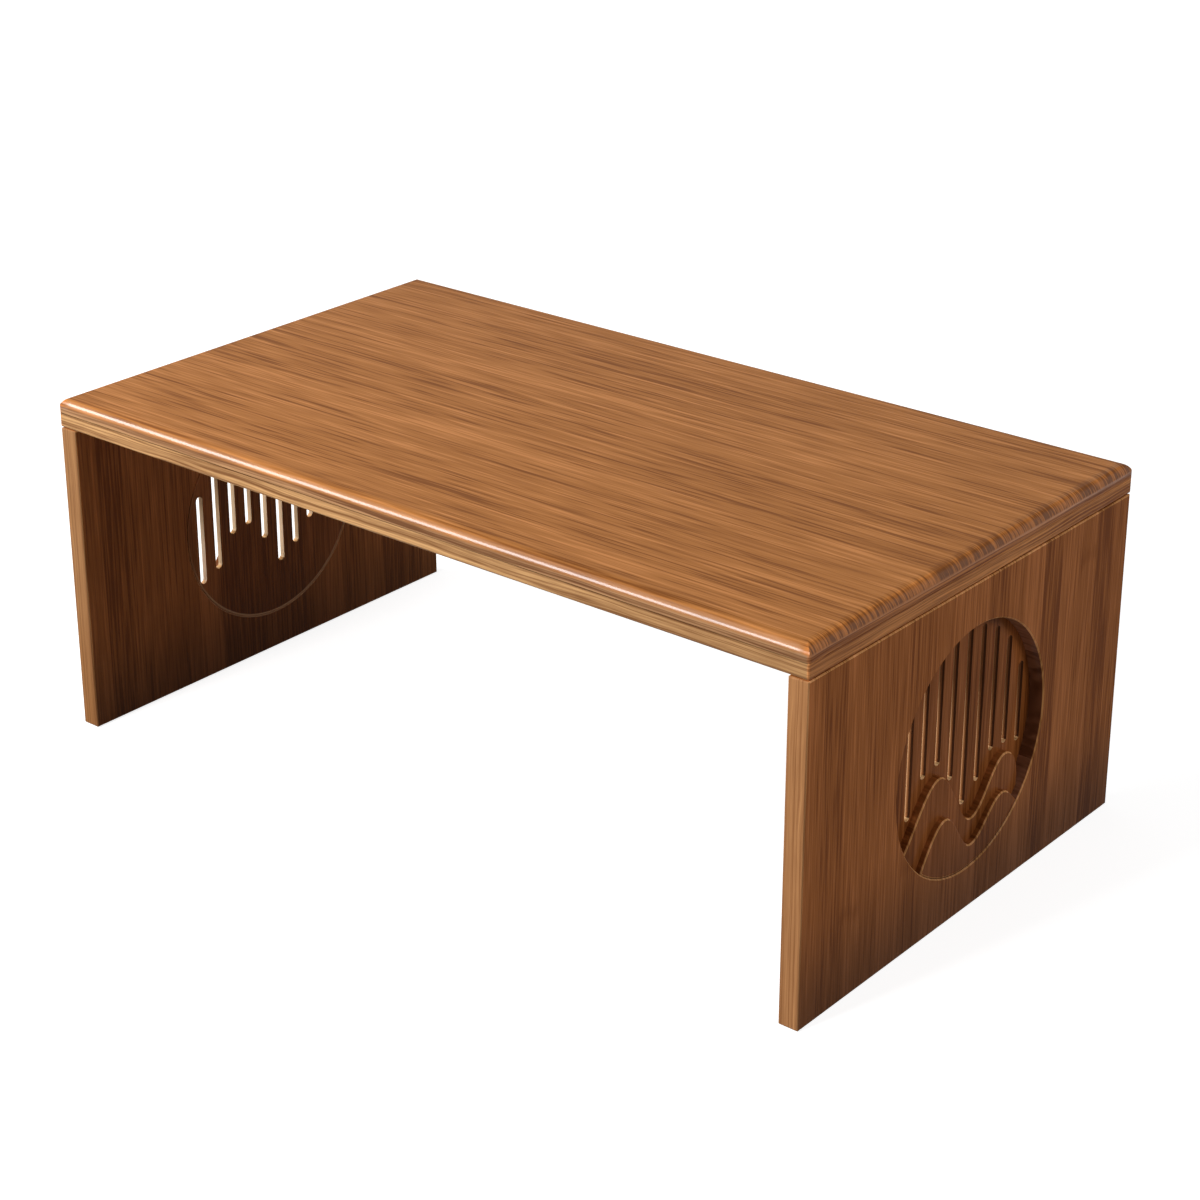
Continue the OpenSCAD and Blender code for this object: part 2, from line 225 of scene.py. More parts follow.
def strip_numbers(group, vector, width):
    """The tone of the strip under a point, a second number for it, and its glue line's mask."""
    split = split_node(group, vector)
    wander = noise_node(group, stretch_node(group, vector, STRIP_BEND), 1.0)
    across = math_node(group, "MULTIPLY_ADD", wander, STRIP_WANDER, split["Y"])
    side = math_node(group, "MULTIPLY", math_node(group, "SIGN", split["Z"]), OTHER_SIDE)
    strips = math_node(group, "ADD", math_node(group, "DIVIDE", across, width), side)
    number = math_node(group, "FLOOR", strips)
    tone = add(group, "ShaderNodeTexWhiteNoise", {"W": number}, noise_dimensions="1D").outputs[0]
    second = math_node(group, "FRACT", math_node(group, "MULTIPLY", tone, SECOND_DRAW))
    from_middle = gap_node(group, math_node(group, "FRACT", strips), 0.5)
    line_edge = math_node(group, "SUBTRACT", 0.5, math_node(group, "DIVIDE", GLUE_LINE, width))
    glue = product_node(group, step_node(group, from_middle, line_edge, 0.5),
                        step_node(group, second, *GLUE_SHOWS_ON))
    return tone, second, glue

# %% [markdown]
# A bamboo stalk is closed by a joint every few hands. Where a strip was cut through one, the
# fibres knot and leave a faint rippled band across it. Every strip has its bands at its own
# places, and only some strips show them.

# %% The stalk's joints
JOINTS_PER_METRE = 2.7
JOINT_SCATTER = 5.3
JOINT_HALF_WIDTH = 0.028
JOINT_RIPPLE = (60.0, 130.0, 130.0)
RIPPLE_DEPTH = 0.05
JOINT_SHOWS_ON = (0.30, 0.36)


def joint_bands(group, vector, along, tone, second):
    """A rippled band across some strips, each at its own place along the grain."""
    place = math_node(group, "MULTIPLY_ADD", tone, JOINT_SCATTER,
                      math_node(group, "MULTIPLY", along, JOINTS_PER_METRE))
    to_band = math_node(group, "SUBTRACT", math_node(group, "FRACT", place), 0.5)
    ripple = swing_node(group, stretch_node(group, vector, JOINT_RIPPLE), 3.0)
    ripple = math_node(group, "MULTIPLY", ripple, RIPPLE_DEPTH)
    to_band = math_node(group, "ABSOLUTE", math_node(group, "ADD", to_band, ripple))
    band = step_node(group, to_band, 0.0, JOINT_HALF_WIDTH, 1.0, 0.0)
    return product_node(group, band, step_node(group, second, *JOINT_SHOWS_ON, 1.0, 0.0))

# %% [markdown]
# Inside a strip run straight fibres, with short dark bundles among them. Three noises
# stretched along the grain, from broad to fine, add up to the streaks, and a fourth one makes
# the bundles. One group holds all of this and works from a vector whose X runs along the
# grain, so it serves lengthwise boards and upright ones. The pattern is solid, like the wood:
# it carries on round every edge.

# %% The bamboo grain group
GRAIN_INPUTS = [
    ("Vector", "NodeSocketVector", None),
    ("Strip Width", "NodeSocketFloat", 0.02),
    ("Strip Contrast", "NodeSocketFloat", 0.3),
    ("Glue Lines", "NodeSocketFloat", 0.3),
    ("Fibre Contrast", "NodeSocketFloat", 0.5),
    ("Dark Bundles", "NodeSocketFloat", 0.5),
    ("Joint Bands", "NodeSocketFloat", 0.3),
    ("Pale", "NodeSocketColor", (0.5, 0.25, 0.1, 1)),
    ("Middle", "NodeSocketColor", (0.35, 0.15, 0.06, 1)),
    ("Dark", "NodeSocketColor", (0.15, 0.05, 0.02, 1)),
]
# Waves per metre along, across and through the grain, the noise's detail, and its weight
STREAKS = (
    ((2.2, 42.0, 8.0), 2.0, 0.65),
    ((7.0, 240.0, 30.0), 2.0, 1.0),
    ((16.0, 560.0, 60.0), 1.0, 2.0),
)
STREAK_SHIFT = 7.0
BUNDLES = (12.0, 430.0, 50.0)
BUNDLES_FROM = (3.0, 1.0, 0.0)
BUNDLE_PATCHES = (3.0, 30.0, 6.0)
PATCHES_FROM = (1.0, 5.0, 0.0)
PATCH_PULL = 0.35
BUNDLE_STARTS = (0.54, 0.72)


def dark_bundles(group, moved):
    """A mask of short dark bundles, which come thick in some patches and thin in others."""
    bundle = noise_node(group, stretch_node(group, moved, BUNDLES, BUNDLES_FROM), 1.0)
    patch = swing_node(group, stretch_node(group, moved, BUNDLE_PATCHES, PATCHES_FROM), 2.0)
    bundle = math_node(group, "MULTIPLY_ADD", patch, PATCH_PULL, bundle)
    return step_node(group, bundle, *BUNDLE_STARTS)


def make_grain_group():
    group, inp, out = new_group(
        "bamboo_grain", GRAIN_INPUTS,
        [("Color", "NodeSocketColor", None),
         ("Fibre", "NodeSocketFloat", None)])
    vector = inp["Vector"]
    along = split_node(group, vector)["X"]
    tone, second, glue = strip_numbers(group, vector, inp["Strip Width"])
    band = joint_bands(group, vector, along, tone, second)

    # Every strip's fibres start at another place, so no streak crosses a glue line
    shift = add(group, "ShaderNodeCombineXYZ",
                {0: math_node(group, "MULTIPLY", tone, STREAK_SHIFT), 1: 0.0, 2: 0.0}).outputs[0]
    moved = add(group, "ShaderNodeVectorMath", {0: vector, 1: shift}, operation="ADD").outputs[0]
    streak = 0.0
    for waves, detail, weight in STREAKS:
        swing = swing_node(group, stretch_node(group, moved, waves), detail)
        streak = math_node(group, "MULTIPLY_ADD", swing, weight, streak)

    # From streaks to one tone between 0 and 1, and from that to colour
    streak = math_node(group, "MULTIPLY", streak, inp["Fibre Contrast"])
    strip = math_node(group, "MULTIPLY", math_node(group, "SUBTRACT", tone, 0.5),
                      inp["Strip Contrast"])
    level = math_node(group, "ADD", math_node(group, "ADD", streak, strip), 0.5, clamp=True)
    colour = blend_node(group, step_node(group, level, 0.0, 0.5), inp["Dark"], inp["Middle"])
    colour = blend_node(group, step_node(group, level, 0.5, 1.0), colour, inp["Pale"])
    dark = product_node(group, dark_bundles(group, moved), inp["Dark Bundles"])
    for mask, strength in ((glue, "Glue Lines"), (band, "Joint Bands")):
        dark = math_node(group, "MAXIMUM", dark, product_node(group, mask, inp[strength]))
    feed(group, out["Color"], blend_node(group, dark, colour, inp["Dark"]))
    feed(group, out["Fibre"], math_node(group, "SUBTRACT", level, dark))
    return group


GRAIN = make_grain_group()
print("grain group:", len(GRAIN.nodes), "nodes")

# %% [markdown]
# The sawn edge of a laminated board looks different from its face. There the strips lie one
# above the other and show as wavy stripes, straw-coloured and brown in turn, with a thin dark
# glue line between two plies. This group works out the stripes from the height through the
# board, and lets them wander a little along it.

# %% The ply edge group
# Waves per metre along the board and through it, where the noise starts, and its weight
EDGE_STRIPES = (
    (2.5, 260.0, 2.0, 2.6),
    (9.0, 640.0, 4.0, 2.0),
    (45.0, 1100.0, 6.0, 0.8),
)
EDGE_WAVES = (8.0, 60.0, 0.0)
EDGE_WANDER = 7 * MM
PLY_LINE = (0.44, 0.49)
PLY_LINE_DARK = 0.7


def edge_swing(group, along, height, waves, through, start, detail):
    place = add(group, "ShaderNodeCombineXYZ",
                {0: math_node(group, "MULTIPLY", along, waves),
                 1: math_node(group, "MULTIPLY", height, through), 2: start}).outputs[0]
    return swing_node(group, place, detail)


def make_edge_group():
    group, inp, out = new_group(
        "ply_edge",
        [("Along", "NodeSocketFloat", 0.0),
         ("Height", "NodeSocketFloat", 0.0),
         ("Ply", "NodeSocketFloat", 0.008),
         ("Contrast", "NodeSocketFloat", 1.0),
         ("Straw", "NodeSocketColor", (0.6, 0.33, 0.13, 1)),
         ("Brown", "NodeSocketColor", (0.25, 0.1, 0.04, 1))],
        [("Color", "NodeSocketColor", None)])
    along = inp["Along"]
    wander = edge_swing(group, along, inp["Height"], *EDGE_WAVES, 2.0)
    height = math_node(group, "MULTIPLY_ADD", wander, EDGE_WANDER, inp["Height"])
    level = 0.0
    for waves, through, start, weight in EDGE_STRIPES:
        swing = edge_swing(group, along, height, waves, through, start, 1.0)
        level = math_node(group, "MULTIPLY_ADD", swing, weight, level)
    level = math_node(group, "MULTIPLY_ADD", level, inp["Contrast"], 0.5, clamp=True)
    colour = blend_node(group, level, inp["Brown"], inp["Straw"])
    plies = math_node(group, "FRACT", math_node(group, "DIVIDE", height, inp["Ply"]))
    to_line = gap_node(group, plies, 0.5)
    glue = product_node(group, step_node(group, to_line, *PLY_LINE), PLY_LINE_DARK)
    feed(group, out["Color"], blend_node(group, glue, colour, inp["Brown"]))
    return group


PLY_EDGE = make_edge_group()
print("ply edge group:", len(PLY_EDGE.nodes), "nodes")

# %% [markdown]
# The bamboo is sealed with a satin lacquer. The wood under it is rough and hardly shines. The
# lacquer is a thin smooth coat, and that coat alone gives the shine. The fibres stand a little
# proud under it, so they go into a faint bump. The wood's three tones are the same all over
# the table, from pale through middle to dark. A tint turns them towards the stain that each
# place has taken, and some tints paint light or shade into a place.

# %% Lacquer and colours
COAT_ROUGHNESS = 0.15
COAT_IOR = 1.75
WOOD_SPECULAR = 0.02
WOOD_ROUGHNESS = (0.55, 0.42)
FIBRE_RISE = 0.06 * MM
FIBRE_BUMP = 0.2

PALE = (0.500, 0.200, 0.058)
MIDDLE = (0.360, 0.138, 0.034)
DARK = (0.190, 0.062, 0.013)
STRAW = (0.570, 0.320, 0.135, 1)
EDGE_BROWN = (0.195, 0.082, 0.028, 1)


def group_node(tree, group, inputs):
    node = tree.nodes.new("ShaderNodeGroup")
    node.node_tree = group
    for name, source in inputs.items():
        feed(tree, node.inputs[name], source)
    return node.outputs


def new_material(name):
    material = bpy.data.materials.new(name)
    material.use_nodes = True
    tree = material.node_tree
    return material, tree, tree.nodes["Principled BSDF"]


def lacquered(tree, shader, colour, fibre, coat):
    """Finishes a bamboo material: colour, satin sheen, and fibres that stand a little proud."""
    feed(tree, shader.inputs["Base Color"], colour)
    feed(tree, shader.inputs["Roughness"], step_node(tree, fibre, 0.0, 1.0, *WOOD_ROUGHNESS))
    shader.inputs["Specular IOR Level"].default_value = WOOD_SPECULAR
    feed(tree, shader.inputs["Coat Weight"], coat)
    shader.inputs["Coat Roughness"].default_value = COAT_ROUGHNESS
    shader.inputs["Coat IOR"].default_value = COAT_IOR
    bump = add(tree, "ShaderNodeBump",
               {"Strength": FIBRE_BUMP, "Distance": FIBRE_RISE, "Height": fibre})
    feed(tree, shader.inputs["Normal"], bump.outputs[0])


def tinted(shade, tint):
    return tuple(c * t for c, t in zip(shade, tint)) + (1,)


def grain(tree, vector, tint, strip_width, strips, glue, fibres, bundles, joints):
    return group_node(tree, GRAIN, {
        "Vector": vector, "Strip Width": strip_width, "Strip Contrast": strips,
        "Glue Lines": glue, "Fibre Contrast": fibres, "Dark Bundles": bundles,
        "Joint Bands": joints, "Pale": tinted(PALE, tint), "Middle": tinted(MIDDLE, tint),
        "Dark": tinted(DARK, tint)})


print("lacquer: IOR", COAT_IOR, "roughness", COAT_ROUGHNESS)

# %% [markdown]
# The top: the grain runs lengthwise, and the stripes of the plies show all round the edge,
# below the roundover. The roundover cuts across the fibres at the two ends, where they drink
# more stain, so the dark streaks deepen on that shoulder. Painted shade darkens the V line.
# The lacquer has flowed round the edge and is thickest on the upper half of the roundover,
# which draws the bright line along the front. All of it is steered by two distances, how far
# past the edge a point lies and how high, both measured from the board's own box.

# %% Bamboo for the top
PLIES_IN_TOP = 3
PLAIN_TINT = (1.0, 1.0, 1.0)
UPPER_PLY_TINT = (0.74, 0.70, 0.76, 1)
END_TINT = (1.38, 1.02, 0.76, 1)
SHOULDER_TINT = (1.30, 1.12, 0.84, 1)
STAIN = DARK + (1,)
# Painted shade for the V line: a dark brown laid along the groove
V_LINE_SHADE_COLOUR = (0.050, 0.020, 0.008, 1)
TOP_COAT = 0.07
ROUND_COAT = 1.0
END_COAT = 0.30

# Each pair says where a step starts and ends. These are distances past the edge of the board:
SHOULDER = (-12.0 * MM, -6.0 * MM)
LOW_SHOULDER = (-7.5 * MM, -3.5 * MM)
COATED_ROUND = (-4.5 * MM, -2.0 * MM)
STRIPED_EDGE = (-3.0 * MM, -2.0 * MM)
END_FACE = (-3.0 * MM, -1.0 * MM)
# These are heights:
ABOVE_LINE = (V_LINE_Z - 0.2 * MM, V_LINE_Z + 0.2 * MM)
STRIPES_END = (TOP_HIGH.z - 7.5 * MM, TOP_HIGH.z - 5.5 * MM)
COAT_STARTS = (TOP_HIGH.z - 9.0 * MM, TOP_HIGH.z - 6.5 * MM)
FRONT_COAT_STARTS = (TOP_HIGH.z - 6.6 * MM, TOP_HIGH.z - 4.8 * MM)
# And these are a fibre's tone, and the distance from the V line:
THIRSTY_FIBRE = (0.28, 0.48)
LINE_FADES = (0.2 * MM, 0.8 * MM)
THIRST = 0.75
LINE_DARK = 0.7
LINE_LEFT_AT_END = 0.4


def top_edge_colour(tree, axes, past_end):
    """The stripes of the plies, darker above the V line and redder on the two ends."""
    edge = group_node(tree, PLY_EDGE, {
        "Along": math_node(tree, "ADD", axes["X"], axes["Y"]),
        "Height": math_node(tree, "SUBTRACT", axes["Z"], TOP_LOW.z),
        "Ply": TOP_THICK / PLIES_IN_TOP, "Straw": STRAW, "Brown": EDGE_BROWN})["Color"]
    above_line = step_node(tree, axes["Z"], *ABOVE_LINE)
    edge = blend_node(tree, above_line, edge, UPPER_PLY_TINT, "MULTIPLY")
    return blend_node(tree, step_node(tree, past_end, *END_FACE), edge, END_TINT, "MULTIPLY")


def stained_shoulder(tree, face, axes, past_end, at_end):
    """The face's colour, with the stain that the cut fibres drink on the ends' shoulders."""
    above_line = step_node(tree, axes["Z"], *ABOVE_LINE)
    low = product_node(tree, above_line, step_node(tree, past_end, *LOW_SHOULDER))
    thirsty = product_node(tree, above_line, at_end,
                           step_node(tree, face["Fibre"], *THIRSTY_FIBRE, THIRST, 0.0))
    colour = blend_node(tree, low, face["Color"], SHOULDER_TINT, "MULTIPLY")
    return blend_node(tree, thirsty, colour, STAIN)


def top_coat(tree, axes, past, at_end):
    """How thick the lacquer lies: thin on the face, thick on the roundover's upper half."""
    on_round = product_node(tree, step_node(tree, past, *COATED_ROUND),
                            step_node(tree, axes["Z"], *COAT_STARTS),
                            step_node(tree, axes["Z"], *FRONT_COAT_STARTS, at_end, 1.0))
    round_coat = math_node(tree, "MULTIPLY_ADD", at_end, END_COAT - ROUND_COAT, ROUND_COAT)
    return add(tree, "ShaderNodeMapRange", {0: on_round, 3: TOP_COAT, 4: round_coat}).outputs[0]


def make_top_bamboo():
    material, tree, shader = new_material("bamboo_top")
    place = object_place(tree)
    axes = split_node(tree, place)
    face = grain(tree, place, PLAIN_TINT, strip_width=0.021, strips=0.25, glue=0.1,
                 fibres=0.88, bundles=0.42, joints=0.0)
    past_end = past_node(tree, axes["X"], TOP_HIGH.x)
    past = math_node(tree, "MAXIMUM", past_end, past_node(tree, axes["Y"], TOP_HIGH.y))
    at_end = step_node(tree, past_end, *SHOULDER)
    near_edge = step_node(tree, past, *STRIPED_EDGE)

    striped = product_node(tree, near_edge, step_node(tree, axes["Z"], *STRIPES_END, 1.0, 0.0))
    colour = stained_shoulder(tree, face, axes, past_end, at_end)
    colour = blend_node(tree, striped, colour, top_edge_colour(tree, axes, past_end))
    # Painted shade along the V line, weaker on the two ends
    from_line = gap_node(tree, axes["Z"], V_LINE_Z)
    line_shade_mask = product_node(tree, near_edge,
                           step_node(tree, from_line, *LINE_FADES, LINE_DARK, 0.0),
                           step_node(tree, past_end, *END_FACE, 1.0, LINE_LEFT_AT_END))
    colour = blend_node(tree, line_shade_mask, colour, V_LINE_SHADE_COLOUR)
    lacquered(tree, shader, colour, face["Fibre"], top_coat(tree, axes, past, at_end))
    return material


BAMBOO_TOP = make_top_bamboo()
print("bamboo for the top:", len(BAMBOO_TOP.node_tree.nodes), "nodes")

# %% [markdown]
# The legs: the same bamboo set upright, with wider strips and a darker stain. The front and
# back edges of a leg board show its two plies as upright stripes. Painted shade darkens the
# face towards the floor. The medallions are sawn from the same boards and share the pattern,
# in a darker tint that is painted shade of the recess they sit in. The same wood comes in
# three more tints: a painted highlight on chamfers and carved edges, painted shade on the
# wall of the round hole, and painted light, almost white, at the foot of a slot. On the inner
# face a painted highlight draws a fine pale ring where the medallion is glued in and sanded
# flush.

# %% Bamboo for the legs
TURN_UPRIGHT = (0.0, math.pi / 2, 0.0)
SIDES = (-LEG_LOW.x, LEG_LOW.x)
PLIES_IN_LEG = 2
LEG_STRIPES = 0.5
LEG_COAT = 0.03

LEG_TINT = (1.06, 0.90, 0.87)
# Painted shade of the carving's recess: a darker tint for the medallions:
CARVING_SHADE_TINT = (0.79, 0.64, 0.60)
# Painted light, almost white, at the upward feet of the slots:
SLOT_FOOT_LIGHT_TINT = (2.6, 4.2, 8.0)
# Painted highlight on the chamfers and on the carving's lit edges:
HIGHLIT_TINT = (2.0, 2.4, 3.4)
# Painted shade on the wall of the round hole:
WALL_SHADE_TINT = (0.80, 0.88, 1.70)
LEG_EDGE_TINT = (0.95, 0.83, 0.80, 1)
# Painted shade on the left leg's edges, deeper towards the foot:
LEFT_EDGE_SHADE = (0.84, 0.88, 0.90, 1)
LEFT_FOOT_EDGE_SHADE = (0.70, 0.66, 0.57, 1)
# A painted highlight on the seam ring round the medallion, on the inner face:
SEAM_HIGHLIGHT = (0.62, 0.36, 0.20, 1)

LEG_EDGE = (LEG_HIGH.y - 1.2 * MM, LEG_HIGH.y - 0.6 * MM)
LEFT_EDGE_FOOT = 150 * MM
# Painted shade on the legs' faces, darker towards the floor:
FOOT_HEIGHT = 95 * MM
FOOT_SHADE = 0.45
SEAM_WIDTH = (1.0 * MM, 1.7 * MM)
SEAM_DEPTH = (1.4 * MM, 1.6 * MM)
SEAM_HIGHLIGHT_ABOVE = 0.1


def upright_grain(tree, place, tint, **settings):
    turned = add(tree, "ShaderNodeMapping", {"Vector": place, "Rotation": TURN_UPRIGHT})
    return grain(tree, turned.outputs[0], tint, strip_width=0.024, **settings)


def leg_edge_colour(tree, axes, through):
    """The stripes of the two plies, with painted shade on the left leg's edges, most at its
    foot.
    """
    edge = group_node(tree, PLY_EDGE, {
        "Along": axes["Z"], "Height": through, "Ply": LEG_THICK / PLIES_IN_LEG,
        "Contrast": LEG_STRIPES, "Straw": STRAW, "Brown": EDGE_BROWN})["Color"]
    edge = blend_node(tree, 1.0, edge, LEG_EDGE_TINT, "MULTIPLY")
    # Painted shade on the left leg's edges, most towards the floor
    left_shade = blend_node(tree, step_node(tree, axes["Z"], 0.0, LEFT_EDGE_FOOT),
                           LEFT_FOOT_EDGE_SHADE, LEFT_EDGE_SHADE)
    on_left = step_node(tree, axes["X"], *SIDES, 1.0, 0.0)
    return blend_node(tree, on_left, edge, left_shade, "MULTIPLY")


def seam_highlight_mask(tree, axes, through):
    """1 on the ring where the medallion meets its hole, on the inner face, fading upwards: where
    the painted highlight lies.
    """
    height = math_node(tree, "SUBTRACT", axes["Z"], DISC_MIDDLE_Z)
    from_axis = add(tree, "ShaderNodeVectorMath", {
        0: add(tree, "ShaderNodeCombineXYZ", {0: 0.0, 1: axes["Y"], 2: height}).outputs[0]},
        operation="LENGTH").outputs["Value"]
    from_seam = gap_node(tree, from_axis, DISC_RADIUS)
    return product_node(
        tree, step_node(tree, from_seam, *SEAM_WIDTH, 1.0, 0.0),
        step_node(tree, through, *SEAM_DEPTH, 1.0, 0.0),
        step_node(tree, axes["Z"], DISC_LOW.z, DISC_MIDDLE_Z, 1.0, SEAM_HIGHLIGHT_ABOVE))


def make_leg_bamboo(name, tint):
    material, tree, shader = new_material(name)
    place = object_place(tree)
    axes = split_node(tree, place)
    face = upright_grain(tree, place, tint, strips=0.7, glue=0.8, fibres=0.85, bundles=0.35,
                         joints=0.35)
    through = past_node(tree, axes["X"], LEG_LOW.x)
    sideways = math_node(tree, "ABSOLUTE", axes["Y"])
    # Painted shade: the face gets darker towards the floor
    shade = step_node(tree, axes["Z"], 0.0, FOOT_HEIGHT, FOOT_SHADE, 1.0)
    colour = blend_node(tree, 1.0, face["Color"], shade, "MULTIPLY")
    colour = blend_node(tree, step_node(tree, sideways, *LEG_EDGE), colour,
                        leg_edge_colour(tree, axes, through))
    # Painted highlight on the seam ring
    colour = blend_node(tree, seam_highlight_mask(tree, axes, through), colour, SEAM_HIGHLIGHT)
    lacquered(tree, shader, colour, face["Fibre"], LEG_COAT)
    return material


BAMBOO_LEG = make_leg_bamboo("bamboo_leg", LEG_TINT)
BAMBOO_CARVING_SHADED = make_leg_bamboo("bamboo_carving", CARVING_SHADE_TINT)
BAMBOO_SLOT_FOOT_LIT = make_leg_bamboo("bamboo_slot_foot_lit", SLOT_FOOT_LIGHT_TINT)
BAMBOO_HIGHLIT = make_leg_bamboo("bamboo_highlit", HIGHLIT_TINT)
BAMBOO_WALL_SHADE = make_leg_bamboo("bamboo_wall_shade", WALL_SHADE_TINT)
print("bamboo for the legs:", len(BAMBOO_LEG.node_tree.nodes), "nodes in each of 5 materials")

# %% [markdown]
# The slots' walls get painted light and shade. On the left leg they are a pale cream, painted
# light as if lit through the slots from outside. On the right leg they get painted shade: the
# wall is tan at the inner face and goes through brown to nearly black on the carved side. The
# depth through the board decides between the three.

# %% Bamboo for the walls of the slots
# Painted light on the left slots' walls, painted shade by depth on the right ones:
LIT_CUT_TINT = (2.3, 4.3, 11.0)
SLOT_LIT_TAN = (0.78, 0.44, 0.21, 1)
SLOT_HALF_SHADE = (0.38, 0.150, 0.055, 1)
SLOT_SHADE = (0.120, 0.044, 0.018, 1)
LIT_TO_HALF_SHADE = (0.5 * MM, 1.4 * MM)
HALF_SHADE_TO_SHADE = (2.2 * MM, 3.2 * MM)


def make_slot_bamboo():
    """Painted light on the left leg's slot walls, and painted shade by depth on the right one.
    """
    material, tree, shader = new_material("bamboo_cut")
    place = object_place(tree)
    axes = split_node(tree, place)
    face = upright_grain(tree, place, LIT_CUT_TINT, strips=0.3, glue=0.0, fibres=0.6, bundles=0.0,
                         joints=0.0)
    through = past_node(tree, axes["X"], LEG_LOW.x)
    # Painted shade by depth on the right leg, painted light on the left
    slot_shading = blend_node(tree, step_node(tree, through, *LIT_TO_HALF_SHADE), SLOT_LIT_TAN, SLOT_HALF_SHADE)
    slot_shading = blend_node(tree, step_node(tree, through, *HALF_SHADE_TO_SHADE), slot_shading, SLOT_SHADE)
    colour = blend_node(tree, step_node(tree, axes["X"], *SIDES), face["Color"], slot_shading)
    lacquered(tree, shader, colour, face["Fibre"], 0.0)
    return material


BAMBOO_CUT = make_slot_bamboo()
print("bamboo for the slots:", len(BAMBOO_CUT.node_tree.nodes), "nodes")

# %% [markdown]
# The hinges are pressed from plated sheet. Plating is bright but never mirror-smooth: rolling
# leaves fine parallel lines, and handling leaves clouds. Both go into the roughness, and the
# clouds darken the metal a little too. The leaf springs are blued, the rivets and the screws
# are plated brighter than the brackets.

# %% The steel materials
ROLLING_LINES = (40.0, 2600.0, 40.0)
CLOUDS = (70.0, 70.0, 70.0)
LINE_DEPTH = 0.03 * MM
LINE_BUMP = 0.15
LINE_ROUGHNESS = 0.25
CLOUDED = 0.72
CLOUD_EDGE = (0.35, 0.65)


def steel(name, colour, roughness, cloud):
    material, tree, shader = new_material(name)
    place = object_place(tree)
    lines = noise_node(tree, stretch_node(tree, place, ROLLING_LINES), 2.0)
    clouds = noise_node(tree, stretch_node(tree, place, CLOUDS), 3.0)
    level = math_node(tree, "MULTIPLY", math_node(tree, "SUBTRACT", clouds, 0.5), cloud)
    level = math_node(tree, "MULTIPLY_ADD", math_node(tree, "SUBTRACT", lines, 0.5),
                      LINE_ROUGHNESS, level)
    feed(tree, shader.inputs["Roughness"], math_node(tree, "ADD", level, roughness, clamp=True))
    darker = tuple(CLOUDED * c for c in colour[:3]) + (1,)
    shade = step_node(tree, clouds, *CLOUD_EDGE)
    feed(tree, shader.inputs["Base Color"], blend_node(tree, shade, darker, colour))
    shader.inputs["Metallic"].default_value = 1.0
    bump = add(tree, "ShaderNodeBump",
               {"Strength": LINE_BUMP, "Distance": LINE_DEPTH, "Height": lines})
    feed(tree, shader.inputs["Normal"], bump.outputs[0])
    return material


ZINC = steel("zinc_plate", (0.62, 0.63, 0.65, 1), 0.34, 0.3)
RIVET = steel("rivet_steel", (0.66, 0.66, 0.66, 1), 0.28, 0.2)
SPRING = steel("spring_steel", (0.20, 0.22, 0.27, 1), 0.30, 0.35)
SCREW = steel("screw_steel", (0.70, 0.69, 0.66, 1), 0.30, 0.2)
print("steel:", len(ZINC.node_tree.nodes), "nodes in each of 4 materials")

# %% [markdown]
# Each node of the frame has one material slot. A table of name endings says which finish goes
# on which node, so a hinge at any of the four corners is dressed by the same line.

# %% Dress the frame
FINISHES = {
    "tabletop": BAMBOO_TOP,
    "_leg": BAMBOO_LEG,
    "_medallion": BAMBOO_CARVING_SHADED,
    "_bracket": ZINC,
    "_rivet": RIVET,
    "_spring": SPRING,
    "_screws": SCREW,
}


def finish_of(name):
    return next(material for ending, material in FINISHES.items() if name.endswith(ending))


for node_name, node_piece in NODES.items():
    for material_slot in node_piece.material_slots:
        material_slot.material = finish_of(node_name)
print("dressed:", len(NODES), "nodes")

# %% [markdown]
# Each wooden piece is shown by a copy of its own solid. The copy's loose triangles are merged
# and its flat faces are joined to one again, so that each face can have a look of its own.
# Curved faces are shaded smooth and flat ones stay flat, so no shading creeps over a board's
# face. The top and the legs keep the roundovers and chamfers of the construction. A bevel is
# there for the pieces that need a softer edge still.

# %% Copies of the wooden pieces
SHARP = math.radians(60)
CREASE = math.radians(35)
COPLANAR = math.radians(0.2)
SAME_POINT = 0.001 * MM
FLAT = 0.99999


def merged_copy(name):
    """A bmesh of a CAD node, with its triangles joined up and its flat faces whole."""
    shape = bmesh.new()
    shape.from_mesh(NODES[name].data)
    bmesh.ops.remove_doubles(shape, verts=shape.verts, dist=SAME_POINT)
    bmesh.ops.dissolve_limit(shape, angle_limit=COPLANAR, verts=shape.verts, edges=shape.edges)
    shape.normal_update()
    return shape


def is_sharp(edge):
    return edge.is_convex and edge.calc_face_angle(0.0) > SHARP


def soften(shape, width, segments, wanted=is_sharp):
    """Bevels the wanted edges, and returns how many they were."""
    edges = [edge for edge in shape.edges if wanted(edge)]
    bmesh.ops.bevel(shape, geom=edges, offset=width, offset_type="OFFSET", segments=segments,
                    profile=0.5, affect="EDGES", clamp_overlap=True, material=-1)
    shape.normal_update()
    return len(edges)


def paint(shape, looks, look_of):
    """Gives each face one of the looks, and returns how many faces each look has."""
    for face in shape.faces:
        face.material_index = looks.index(look_of(face))
    chosen = [face.material_index for face in shape.faces]
    return [chosen.count(place) for place in range(len(looks))]


